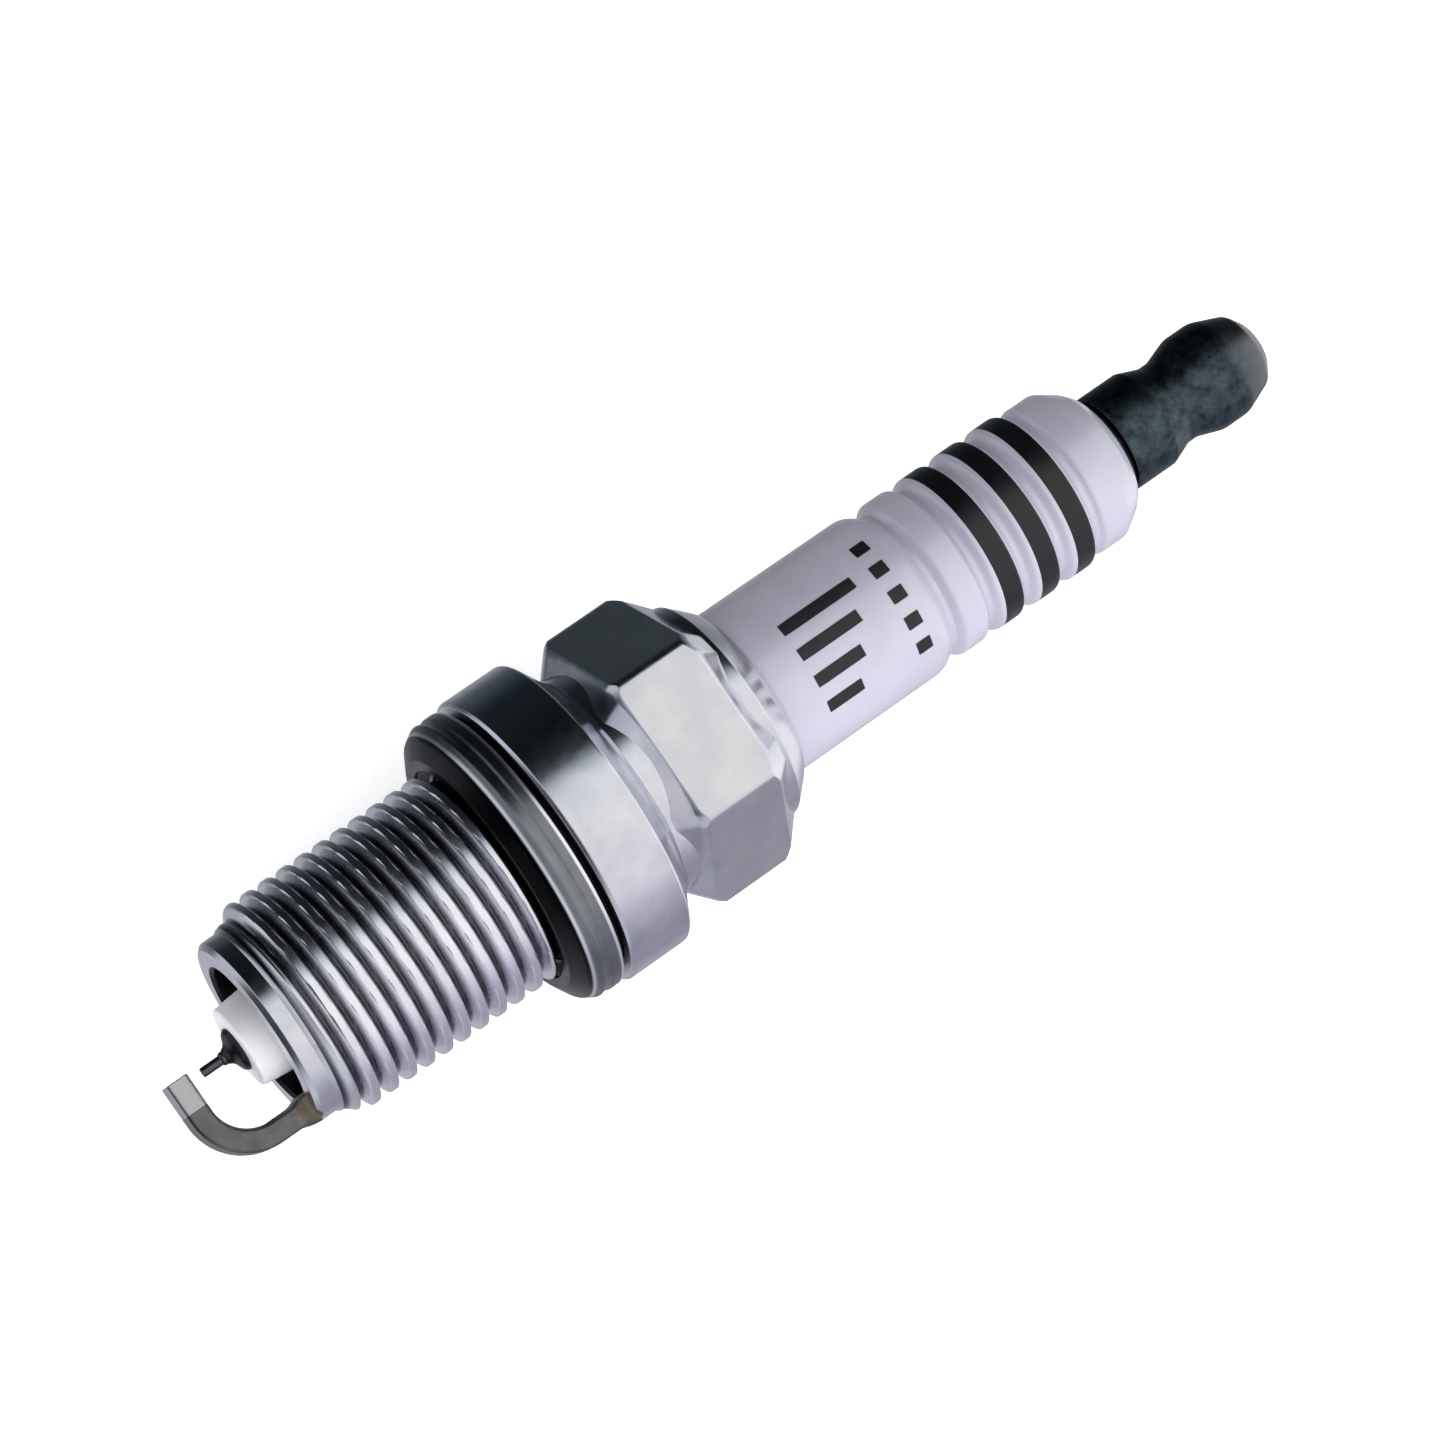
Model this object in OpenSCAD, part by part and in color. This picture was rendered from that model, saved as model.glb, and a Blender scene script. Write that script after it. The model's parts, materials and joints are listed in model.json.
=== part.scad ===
// Spark plug with a fine-wire centre electrode, a flat gasket seat and a removable terminal nut.
// The plug lies along X: the firing end points to -X and the terminal to +X.
// The origin is on the axis, in the gasket's sealing face. +Z is square to one flat of the hexagon.

/* [Thread] */
// Outside diameter of the thread
thread_d = 13.9; // [13.5:0.05:14]
// Pitch of the thread
thread_pitch = 1.25; // [1:0.25:1.5]
// Thread reach, from the flange's seat to the shell's end
reach = 19.2; // [17:0.1:21]

/* [Shell] */
// Width across the flats of the hexagon
hex_af = 15.8; // [15.4:0.1:16.4]
// Diameter of the flange above the gasket
flange_d = 19; // [18.6:0.1:20]
// Thickness of the gasket before it is crushed
gasket_t = 3.15; // [2.8:0.05:3.3]

/* [Insulator] */
// Diameter of the insulator above the shell
insulator_d = 10.8; // [10.6:0.1:10.9]
// Height of the insulator's end above the gasket's sealing face
insulator_top = 44.9; // [44.4:0.1:45.6]
// Diameter of the insulator's nose at its tip
nose_d = 5.1; // [4.8:0.1:5.6]

/* [Electrodes] */
// Spark gap between the fine wire and the ground electrode
gap = 0.85; // [0.6:0.05:1.1]
// Diameter of the fine wire
wire_d = 0.6; // [0.4:0.05:0.8]
// Thickness of the ground electrode
strap_t = 1.4; // [1.1:0.1:1.6]
// Width of the ground electrode
strap_w = 2.6; // [2.2:0.1:2.8]

/* [Terminal] */
// Diameter of the terminal nut's barrel
terminal_d = 6.4; // [6.2:0.05:6.5]
// Height of the terminal nut's end above the gasket's sealing face
terminal_top = 56.7; // [56.2:0.1:57.3]

/* [Hidden] */
$fn = 96;

// Small chamfer on turned edges, and how far a cut runs past the surface it opens
edge = 0.3;
beyond = 1;

// Axial gap that leaves the gasket loose under the flange
gasket_play = 0.05;
seat_x = gasket_t + gasket_play;
shell_end = seat_x - reach;

// Thread: flat crests and flat roots, drawn as rings one pitch apart
thread_r = thread_d / 2;
root_r = thread_r - 0.61 * thread_pitch;
crest_w = thread_pitch / 6;
root_w = thread_pitch / 6;
flank_slope = (thread_pitch - crest_w - root_w) / 2 / (thread_r - root_r);
thread_lead = 0.25;
land_r = 6;
land_len = 1.7;
land_chamfer = 0.4;
relief_r = 6.2;
relief_len = 0.2;
relief_rise = 0.3;
thread_start = shell_end + land_len;
thread_turns = floor((-relief_len - thread_start) / thread_pitch);

// Flange, groove, hexagon and crimped rim, each as a place along the axis
flange_r = flange_d / 2;
flange_back = seat_x + 4.05;
flange_chamfer = 1.15;
groove_r = 7.3;
hex_start = 10.6;
hex_end = 15.05;
hex_bevel = 1.6;
hex_cone = 1.12;
front_flat = 0.2;
back_flat = 0.35;
hex_corner_r = hex_af / 2 / cos(30) - 0.05;
shoulder_r = 7.15;
shoulder_x = 16.95;
rim_x = 18.4;
rim_r = 5.75;

// Bore of the shell
cavity_r = 4.4;
ledge_r = 3.75;
mid_bore_r = 5;
top_bore_r = 6.3;
ledge_x = -8.6;
ledge_len = 0.5;
ledge_cone = 1.1;
ledge_lead = 0.4;
ledge_slope = ledge_cone / (mid_bore_r - ledge_r);
top_bore_x = 4.8;
top_bore_cone = 1.3;
rim_bore_cone = 0.5;

// Insulator: glazed above the shell and bare, so a little thinner, inside it
barrel_r = insulator_d / 2;
bare_r = barrel_r - 0.2;
bare_end = rim_x + 0.1;
nose_reach = 1.3;
nose_x = shell_end - nose_reach;
nose_r = nose_d / 2;
nose_root_r = 3.3;
nose_root_len = 0.6;
washer_t = 0.3;
mid_r = 4.9;
collar_r = 6.2;
collar_gap = 0.4;
collar_end = 13.2;
collar_cone = 0.5;
core_r = 1.9;
core_step_x = -2.2;
electrode_r = 1.3;
electrode_step = 0.1;
rib_r = 5.22;
rib_groove_r = 4.7;
rib_pitch = 2.68;
rib_count = 4;
rib_flat = 1.4;
rib_foot = 0.25;
rib_taper = 1.3;
first_rib_x = insulator_top - 13.3;
head_r = rib_r - 0.2;
head_lead = 0.35;
head_round = 1.7;

// Packing between the insulator and the shell
wire_ring_r = 0.5;
lower_ring_x = collar_end + collar_cone + wire_ring_r;
talc_start = lower_ring_x + wire_ring_r;
talc_end = 16;
upper_ring_x = talc_end + wire_ring_r;

// Electrodes
wire_len = 1.25;
wire_end = shell_end - 3.75;
wire_start = wire_end + wire_len;
weld_len = 0.25;
weld_r = 0.42;
weld_tip_r = wire_d / 2 + 0.03;
head_len = 1.2;
copper_r = 0.7;
copper_start = nose_x + 2;
copper_end = core_step_x - 0.2;
strap_inner = wire_end - gap;
strap_outer = strap_inner - strap_t;
strap_leg_y = 5.72;
strap_bend_r = 3.7;
strap_reach = 0.45;

// Core stack inside the insulator
lower_seal_end = 4;
resistor_end = 14;
upper_seal_end = 19;
stud_end_x = 16;
stud_tip_r = 1.5;
stud_r = 1.8;
stud_thread_r = 1.95;
stud_flange_r = 3.5;
stud_flange_top_r = 2.95;
stud_flange_len = 0.5;
stud_top = 54.6;

// Terminal nut
nut_x = insulator_top + stud_flange_len + 0.05;
nut_r = terminal_d / 2;
nut_bore_r = stud_thread_r + 0.06;
nut_bore_end = stud_top + edge;
nut_chamfer = 0.2;
nut_collar_end = 48.7;
nut_neck_r = 2.65;
nut_neck_x = 50.2;
nut_neck_len = 1.6;
nut_barrel_x = 52;
nut_barrel_end = 53.8;
nut_dome_x = 55.2;

// Turns a shape that is drawn about Z so that it lies along X
module along_x() {
    rotate([0, 90, 0]) children();
}

// A plain round rod from one place on the axis to another
module rod(r, from, to) {
    translate([0, 0, from]) cylinder(r = r, h = to - from);
}

// One ring-shaped groove of the thread, as a profile beside the axis
module thread_groove(x) {
    over = 0.15;
    polygon([
        [thread_r + over, x + crest_w / 2 - over * flank_slope],
        [thread_r + over, x + thread_pitch - crest_w / 2 + over * flank_slope],
        [root_r, x + (thread_pitch + root_w) / 2],
        [root_r, x + (thread_pitch - root_w) / 2]
    ]);
}

// Outline of the shell without its hexagon, from the firing end up to the crimped rim
module shell_outline() {
    difference() {
        polygon([
            [0, shell_end],
            [land_r - land_chamfer, shell_end],
            [land_r, shell_end + land_chamfer],
            [land_r, thread_start - land_chamfer],
            [thread_r, thread_start + thread_lead],
            [thread_r, -relief_len],
            [relief_r, -relief_len + relief_rise],
            [relief_r, seat_x],
            [flange_r - edge, seat_x],
            [flange_r, seat_x + edge],
            [flange_r, flange_back],
            [groove_r + edge, flange_back + flange_chamfer],
            [groove_r, flange_back + flange_chamfer + edge],
            [groove_r, hex_end],
            [shoulder_r, hex_end],
            [shoulder_r, shoulder_x],
            [rim_r, rim_x],
            [0, rim_x]
        ]);
        for (i = [0:thread_turns - 1]) thread_groove(thread_start + thread_lead + i * thread_pitch);
    }
}

// Six-sided block, from one width across flats to another
module hexagon(from_af, to_af, from, to) {
    translate([0, 0, from])
        rotate([0, 0, 30])
            cylinder(r1 = from_af / 2 / cos(30), r2 = to_af / 2 / cos(30), h = to - from, $fn = 6);
}

// Hexagon with a flat bevel at each end of every side, and cones that take its corners off
module shell_hexagon() {
    bevel_af = hex_af - 2 * hex_bevel;
    start = hex_start - front_flat;
    end = hex_end + back_flat;
    cone_r = hex_corner_r - hex_cone * (hex_bevel + back_flat);
    intersection() {
        union() {
            hexagon(bevel_af, hex_af, start - hex_bevel, start);
            hexagon(hex_af, hex_af, start, end);
            hexagon(hex_af, bevel_af, end, end + hex_bevel);
        }
        rotate_extrude() polygon([
            [0, hex_start - hex_bevel - back_flat],
            [cone_r, hex_start - hex_bevel - back_flat],
            [hex_corner_r, hex_start],
            [hex_corner_r, hex_end],
            [cone_r, hex_end + hex_bevel + back_flat],
            [0, hex_end + hex_bevel + back_flat]
        ]);
    }
}

// Space inside the shell: the open firing chamber, the ledge and the two upper bores
module shell_bore() {
    rotate_extrude() polygon([
        [0, shell_end - beyond],
        [cavity_r, shell_end - beyond],
        [cavity_r, ledge_x - ledge_lead],
        [ledge_r, ledge_x],
        [ledge_r, ledge_x + ledge_len],
        [mid_bore_r, ledge_x + ledge_len + ledge_cone],
        [mid_bore_r, top_bore_x],
        [top_bore_r, top_bore_x + top_bore_cone],
        [top_bore_r, upper_ring_x + wire_ring_r],
        [barrel_r, upper_ring_x + wire_ring_r + rim_bore_cone],
        [barrel_r, rim_x + beyond],
        [0, rim_x + beyond]
    ]);
}

module metal_shell() {
    color("lightslategray") along_x() difference() {
        union() {
            rotate_extrude() shell_outline();
            shell_hexagon();
        }
        shell_bore();
    }
}

// Strap that starts on the shell's end face, bends over and stops just past the axis
module ground_electrode() {
    bend_x = strap_outer + strap_bend_r;
    bend_y = -strap_leg_y + strap_bend_r;
    color("dimgray") {
        translate([bend_x, -strap_leg_y, -strap_w / 2])
            cube([shell_end - bend_x, strap_t, strap_w]);
        translate([bend_x, bend_y, 0])
            rotate([0, 0, 180])
                rotate_extrude(angle = 90)
                    translate([strap_bend_r - strap_t, -strap_w / 2])
                        square([strap_t, strap_w]);
        translate([strap_outer, bend_y, -strap_w / 2])
            cube([strap_t, strap_reach - bend_y, strap_w]);
    }
}

// Folded sealing washer: rounded edge below, a step at the top edge and the slit of the fold inside.
// Its bore is wider than the relief and narrower than the thread, so it can't come off.
module gasket() {
    outer_r = flange_r - 0.2;
    edge_r = 1.5;
    inner_r = 6.4;
    face_r = 7.05;
    lip_len = 0.25;
    slit_x = 1.95;
    slit_depth = 1.6;
    slit_w = 0.18;
    step_r = 0.6;
    step_x = 0.35;
    color("silver") along_x() rotate_extrude() difference() {
        union() {
            polygon([
                [face_r, 0],
                [outer_r - edge_r, 0],
                [outer_r - edge_r, gasket_t],
                [inner_r, gasket_t],
                [inner_r, lip_len + face_r - inner_r],
                [face_r, lip_len]
            ]);
            translate([outer_r - edge_r, edge_r]) square([edge_r, gasket_t - edge_r - step_x]);
            translate([outer_r - edge_r, edge_r]) square([edge_r - step_r, gasket_t - edge_r]);
            translate([outer_r - edge_r, edge_r]) circle(r = edge_r);
        }
        translate([inner_r - beyond, slit_x]) square([slit_depth + beyond, slit_w]);
    }
}

// One rib of the insulator as a profile beside the axis
module rib(x) {
    polygon([
        [0, x - rib_pitch / 2],
        [rib_groove_r, x - rib_pitch / 2],
        [rib_groove_r, x - rib_pitch / 2 + rib_foot],
        [rib_r, x - rib_flat / 2],
        [rib_r, x + rib_flat / 2],
        [rib_groove_r, x + rib_pitch / 2 - rib_foot],
        [rib_groove_r, x + rib_pitch / 2],
        [0, x + rib_pitch / 2]
    ]);
}

// Outline of the insulator: nose, lower shoulder, middle, collar and barrel, then the ribs and the head
module insulator_outline() {
    ribs_start = first_rib_x - rib_pitch / 2;
    ribs_end = ribs_start + rib_count * rib_pitch;
    shoulder_start = ledge_x + ledge_len + washer_t;
    polygon([
        [0, nose_x],
        [nose_r - edge, nose_x],
        [nose_r, nose_x + edge],
        [nose_root_r, shoulder_start - nose_root_len],
        [ledge_r - 0.05, shoulder_start],
        [mid_r, shoulder_start + ledge_slope * (mid_r - ledge_r)],
        [mid_r, top_bore_x + collar_gap],
        [collar_r, top_bore_x + top_bore_cone + collar_gap],
        [collar_r, collar_end],
        [bare_r, collar_end + collar_cone],
        [bare_r, bare_end],
        [barrel_r, bare_end],
        [barrel_r, ribs_start - rib_taper],
        [rib_groove_r, ribs_start],
        [0, ribs_start]
    ]);
    for (i = [0:rib_count - 1]) rib(first_rib_x + i * rib_pitch);
    polygon([
        [0, ribs_end],
        [rib_groove_r, ribs_end],
        [head_r, ribs_end + head_lead],
        [head_r, insulator_top - head_round],
        [head_r - 0.3 * head_round, insulator_top - 0.35 * head_round],
        [stud_flange_r + edge, insulator_top],
        [0, insulator_top]
    ]);
}

module insulator() {
    color("ghostwhite") along_x() difference() {
        rotate_extrude() insulator_outline();
        rod(electrode_r, nose_x - beyond, core_step_x + beyond);
        rod(core_r, core_step_x, insulator_top + beyond);
    }
}

// Soft washer on the shell's ledge, under the insulator's lower shoulder
module seat_washer() {
    start = ledge_x + ledge_len;
    rise = ledge_slope * (mid_r - ledge_r);
    color("peru") along_x() rotate_extrude() polygon([
        [ledge_r, start],
        [mid_r, start + rise],
        [mid_r, start + rise + washer_t],
        [ledge_r, start + washer_t]
    ]);
}

// Wire ring that closes one end of the powder
module packing_ring(x) {
    color("darkgray") along_x() rotate_extrude()
        translate([(bare_r + top_bore_r) / 2, x]) circle(r = wire_ring_r);
}

module lower_packing_ring() {
    packing_ring(lower_ring_x);
}

module upper_packing_ring() {
    packing_ring(upper_ring_x);
}

module talc_powder() {
    color("ivory") along_x() difference() {
        rod(top_bore_r, talc_start, talc_end);
        rod(bare_r, talc_start - beyond, talc_end + beyond);
    }
}

// Copper core with a round end towards the spark
module core_shape() {
    rod(copper_r, copper_start, copper_end);
    translate([0, 0, copper_start]) sphere(r = copper_r);
}

// Nickel electrode: tapered end, shank in the nose and a head on the insulator's inner step
module centre_electrode() {
    color("gray") along_x() difference() {
        union() {
            rotate_extrude() polygon([
                [0, wire_start + weld_len],
                [weld_r, wire_start + weld_len],
                [electrode_r, nose_x - electrode_step],
                [electrode_r, core_step_x],
                [0, core_step_x]
            ]);
            rod(core_r, core_step_x, core_step_x + head_len);
        }
        core_shape();
    }
}

module copper_core() {
    color("sienna") along_x() core_shape();
}

// Melted ring between the wire and the electrode
module tip_weld() {
    color("slategray") along_x() translate([0, 0, wire_start])
        cylinder(r1 = weld_tip_r, r2 = weld_r, h = weld_len);
}

module iridium_tip() {
    color("lightgray") along_x() rod(wire_d / 2, wire_end, wire_start);
}

module lower_glass_seal() {
    color("darkslategray") along_x() rod(core_r, core_step_x + head_len, lower_seal_end);
}

module resistor() {
    color("black") along_x() rod(core_r, lower_seal_end, resistor_end);
}

// Glass that was soft when the stud was pressed in, so it rises around the stud's tip
module upper_glass_seal() {
    color("darkslategray") along_x() difference() {
        rod(core_r, resistor_end, upper_seal_end);
        rod(stud_tip_r, stud_end_x, upper_seal_end + beyond);
    }
}

// Steel stud: tip in the glass, shank, seat flange on the insulator and threaded post
module terminal_stud() {
    color("dimgray") along_x() {
        rod(stud_tip_r, stud_end_x, upper_seal_end);
        rod(stud_r, upper_seal_end, insulator_top);
        translate([0, 0, insulator_top])
            cylinder(r1 = stud_flange_r, r2 = stud_flange_top_r, h = stud_flange_len);
        rod(stud_thread_r, insulator_top + stud_flange_len, stud_top - edge);
        translate([0, 0, stud_top - edge])
            cylinder(r1 = stud_thread_r, r2 = stud_thread_r - edge, h = edge);
    }
}

// Nut with a collar, a waist that the cap's spring clips into and a round-ended barrel
module terminal_nut() {
    color("darkslategray") along_x() difference() {
        rotate_extrude() polygon([
            [0, nut_x],
            [nut_r - nut_chamfer, nut_x],
            [nut_r, nut_x + nut_chamfer],
            [nut_r, nut_collar_end - nut_chamfer],
            [nut_r - nut_chamfer, nut_collar_end],
            [nut_neck_r, nut_neck_x - nut_neck_len / 2],
            [nut_neck_r, nut_neck_x + nut_neck_len / 2],
            [nut_r, nut_barrel_x],
            [nut_r, nut_barrel_end],
            [nut_r - edge, nut_dome_x],
            [nut_r - 2.5 * edge, terminal_top - 2 * edge],
            [nut_r - 5 * edge, terminal_top],
            [0, terminal_top]
        ]);
        rod(nut_bore_r, nut_x - beyond, nut_bore_end);
    }
}

metal_shell();
ground_electrode();
gasket();
insulator();
seat_washer();
lower_packing_ring();
talc_powder();
upper_packing_ring();
centre_electrode();
copper_core();
tip_weld();
iridium_tip();
lower_glass_seal();
resistor();
upper_glass_seal();
terminal_stud();
terminal_nut();
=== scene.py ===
import json
import math

import bmesh
import bpy
from mathutils import Matrix, Vector


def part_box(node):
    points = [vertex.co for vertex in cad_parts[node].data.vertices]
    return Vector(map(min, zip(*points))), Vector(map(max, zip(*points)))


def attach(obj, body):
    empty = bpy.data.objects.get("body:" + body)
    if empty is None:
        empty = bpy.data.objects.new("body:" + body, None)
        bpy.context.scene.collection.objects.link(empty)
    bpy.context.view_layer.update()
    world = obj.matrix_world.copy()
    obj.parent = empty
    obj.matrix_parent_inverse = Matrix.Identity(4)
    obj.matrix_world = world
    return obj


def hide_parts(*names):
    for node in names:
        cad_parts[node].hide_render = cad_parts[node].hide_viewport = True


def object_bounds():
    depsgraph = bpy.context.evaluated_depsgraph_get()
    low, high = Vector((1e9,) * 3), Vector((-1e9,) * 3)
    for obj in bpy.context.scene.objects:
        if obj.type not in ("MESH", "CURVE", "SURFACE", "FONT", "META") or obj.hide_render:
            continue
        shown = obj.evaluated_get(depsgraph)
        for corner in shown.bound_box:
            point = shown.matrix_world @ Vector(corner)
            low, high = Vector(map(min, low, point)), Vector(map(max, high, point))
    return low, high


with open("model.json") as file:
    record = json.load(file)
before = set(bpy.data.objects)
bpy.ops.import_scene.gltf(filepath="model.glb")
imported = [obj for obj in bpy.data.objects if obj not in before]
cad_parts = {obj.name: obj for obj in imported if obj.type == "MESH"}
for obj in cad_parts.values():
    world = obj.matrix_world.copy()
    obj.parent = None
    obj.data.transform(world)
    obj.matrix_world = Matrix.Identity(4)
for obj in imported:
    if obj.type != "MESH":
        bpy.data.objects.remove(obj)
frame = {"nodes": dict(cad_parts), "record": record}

cad_low, cad_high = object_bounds()

# ---------------------------------------------------------------- sizes, in millimetres, from the frame

MM = 0.001
mounts = {mount["name"]: mount for mount in frame["record"]["mounts"]}


def ends(node):
    """Where a part starts and ends along the axis."""
    low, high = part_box(node)
    return low.x / MM, high.x / MM


def half_width(node):
    """Largest radius of a round part."""
    low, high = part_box(node)
    return (high.z - low.z) / 2 / MM


SHELL_END, RIM_END = ends("metal_shell")
GASKET_FACE, GASKET_TOP = ends("gasket")
NOSE_END, INSULATOR_TOP = ends("insulator")
WIRE_END, WIRE_START = ends("iridium_tip")
WELD_START, WELD_END = ends("tip_weld")
STUD_END, STUD_TOP = ends("terminal_stud")
NUT_START, NUT_TOP = ends("terminal_nut")
STRAP_OUTER = ends("ground_electrode")[0]
ELECTRODE_TOP = ends("centre_electrode")[1]

THREAD_R = mounts["thread"]["dims"]["r_mm"]
TERMINAL_R = mounts["terminal"]["dims"]["r_mm"]
BARREL_R = mounts["boot_land"]["dims"]["r_mm"]
FLANGE_R = half_width("metal_shell")
GASKET_R = half_width("gasket")
STRAP_HALF_WIDTH = half_width("ground_electrode")
STRAP_LEG_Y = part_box("ground_electrode")[0].y / MM
STRAP_TIP_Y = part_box("ground_electrode")[1].y / MM
WIRE_R = half_width("iridium_tip")
STUD_FLANGE_R = half_width("terminal_stud")

SEAT = GASKET_TOP + 0.05
PITCH = 1.25
THREAD_DEPTH = 0.62 * PITCH
STUD_PITCH = 0.7
STUD_THREAD_R = 1.95
HEX_HALF = 7.9
HEX_CORNER_R = 9.07
FULL_TURN = 2 * math.pi
SHARP = math.radians(32)

# ---------------------------------------------------------------- shape helpers


def arc(centre, radius, start, stop, steps=8):
    """Points of a round stretch of an outline, between two angles in degrees; 0 is along the axis."""
    points = []
    for i in range(steps + 1):
        a = math.radians(start + (stop - start) * i / steps)
        points.append((centre[0] + radius * math.cos(a), centre[1] + radius * math.sin(a)))
    return points


def eased(corners, steps=4):
    """Outline whose corners are rounded. A corner is (along, radius) or (along, radius, rounding)."""
    points = []
    count = len(corners)
    for i, corner in enumerate(corners):
        here = Vector(corner[:2])
        rounding = corner[2] if len(corner) > 2 else 0
        back = Vector(corners[i - 1][:2]) - here
        on = Vector(corners[(i + 1) % count][:2]) - here
        if not rounding or back.length < 1e-6 or on.length < 1e-6:
            points.append(tuple(here))
            continue
        half = back.angle(on) / 2
        cut = min(rounding / math.tan(half), back.length * 0.48, on.length * 0.48)
        first, last = here + back.normalized() * cut, here + on.normalized() * cut
        for k in range(steps + 1):
            t = k / steps
            point = first * (1 - t) ** 2 + here * 2 * t * (1 - t) + last * t ** 2
            points.append(tuple(point))
    return points


def finish_mesh(name, bm, body, replaces=(), slot=None, merge=1e-4):
    """Turns a mesh in millimetres into a piece that rides on a body."""
    bmesh.ops.remove_doubles(bm, verts=bm.verts, dist=merge)
    bmesh.ops.recalc_face_normals(bm, faces=bm.faces)
    bmesh.ops.scale(bm, vec=(MM, MM, MM), verts=bm.verts)
    for face in bm.faces:
        face.smooth = True
    for edge in bm.edges:
        edge.smooth = edge.calc_face_angle(0) < SHARP
    mesh = bpy.data.meshes.new(name)
    bm.to_mesh(mesh)
    bm.free()
    piece = bpy.data.objects.new(name, mesh)
    bpy.context.scene.collection.objects.link(piece)
    weighted = piece.modifiers.new("even_light", "WEIGHTED_NORMAL")
    weighted.keep_sharp = True
    weighted.weight = 100
    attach(piece, body)
    if replaces:
        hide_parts(*replaces)
    return piece


def turned(name, outline_at, body, columns=128, finish_at=None, **about):
    """Part turned about the axis. outline_at gives the closed outline at one angle, as on a lathe, and
    finish_at gives the number of the material for a place along the outline."""
    bm = bmesh.new()
    rings = []
    for column in range(columns):
        angle = FULL_TURN * column / columns
        ring = []
        for along, radius in outline_at(angle):
            ring.append(bm.verts.new((along, radius * math.cos(angle), radius * math.sin(angle))))
        rings.append(ring)
    rows = len(rings[0])
    for column in range(columns):
        here, there = rings[column], rings[(column + 1) % columns]
        for row in range(rows):
            on = (row + 1) % rows
            face = bm.faces.new((here[row], here[on], there[on], there[row]))
            if finish_at:
                middle = (here[row].co + here[on].co) / 2
                face.material_index = finish_at(middle.x, middle.yz.length)
    return finish_mesh(name, bm, body, **about)


def smooth_step(value, low, high):
    """0 below low, 1 above high, and an even curve between."""
    t = min(max((value - low) / (high - low), 0), 1)
    return t * t * (3 - 2 * t)


def thread_radius(along, angle, crest, depth, pitch, start, stop, runout):
    """Radius on a right-hand thread. The thread fades in and out over runout at its two ends."""
    turn = (along - start) / pitch - angle / FULL_TURN
    from_root = abs((turn % 1) - 0.5) * 2
    height = smooth_step(from_root, 0.08, 0.72)
    fade = smooth_step(along, start, start + runout) * (1 - smooth_step(along, stop - runout * 0.36, stop))
    return crest - depth + depth * height * fade


def rows_between(start, stop, step):
    count = max(2, round((stop - start) / step))
    return [start + (stop - start) * i / count for i in range(count + 1)]

# ---------------------------------------------------------------- materials


def srgb(code):
    """Linear colour of an sRGB hex value."""
    parts = [int(code[i:i + 2], 16) / 255 for i in (1, 3, 5)]
    return (*[p / 12.92 if p <= 0.04045 else ((p + 0.055) / 1.055) ** 2.4 for p in parts], 1)


def per_mm(size):
    """Scale of a pattern whose features are this many millimetres across."""
    return 1 / (size * MM)


def add(tree, kind, places=None, **settings):
    """Adds one node with its settings. places gives a value or another node's socket to each input."""
    made = tree.nodes.new(kind)
    for key, value in settings.items():
        setattr(made, key, value)
    for place, value in (places or {}).items():
        if isinstance(value, bpy.types.NodeSocket):
            tree.links.new(value, made.inputs[place])
        else:
            made.inputs[place].default_value = value
    return made


def new_material(name):
    """Empty material, and the object's own place as a vector, in metres."""
    material = bpy.data.materials.new(name)
    material.use_nodes = True
    tree = material.node_tree
    tree.nodes.clear()
    place = add(tree, "ShaderNodeTexCoord").outputs["Object"]
    return material, tree, place


def close_material(material, tree, bump=None, **surface):
    """Ends a material with one shader. bump is (height socket, depth in millimetres)."""
    places = {key.replace("_", " "): value for key, value in surface.items()}
    if bump:
        places["Normal"] = add(tree, "ShaderNodeBump", {
            "Height": bump[0], "Distance": bump[1] * MM, "Strength": 1.0}).outputs[0]
    shader = add(tree, "ShaderNodeBsdfPrincipled", places)
    add(tree, "ShaderNodeOutputMaterial", {"Surface": shader.outputs[0]})
    return material


def spread(tree, value, low, high):
    """Moves a pattern from 0..1 to low..high."""
    return add(tree, "ShaderNodeMapRange", {"Value": value, "To Min": low, "To Max": high}).outputs[0]


def between(tree, value, start, full, kind="SMOOTHSTEP"):
    """0 before start, 1 past full, and an even change between."""
    return add(tree, "ShaderNodeMapRange", {"Value": value, "From Min": start, "From Max": full},
               interpolation_type=kind).outputs[0]


def along_axis(tree, place):
    """Distance along the plug's axis, in metres."""
    return add(tree, "ShaderNodeSeparateXYZ", {0: place}).outputs["X"]


def blend_colours(tree, amount, first, second):
    return add(tree, "ShaderNodeMix", {"Factor": amount, "A": first, "B": second},
               data_type="RGBA").outputs["Result"]


def noise(tree, place, size, detail=3.0, stretch=(1, 1, 1), roughness=0.5):
    """Cloudy pattern with features this many millimetres across, stretched along some axes."""
    scaled = add(tree, "ShaderNodeVectorMath", {0: place, 1: stretch}, operation="MULTIPLY").outputs[0]
    return add(tree, "ShaderNodeTexNoise", {"Vector": scaled, "Scale": per_mm(size), "Detail": detail,
                                            "Roughness": roughness}).outputs["Fac"]


def from_axis(tree, place):
    """Distance from the plug's axis, in metres."""
    flat = add(tree, "ShaderNodeVectorMath", {0: place, 1: (0, 1, 1)}, operation="MULTIPLY").outputs[0]
    return add(tree, "ShaderNodeVectorMath", {0: flat}, operation="LENGTH").outputs["Value"]


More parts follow.
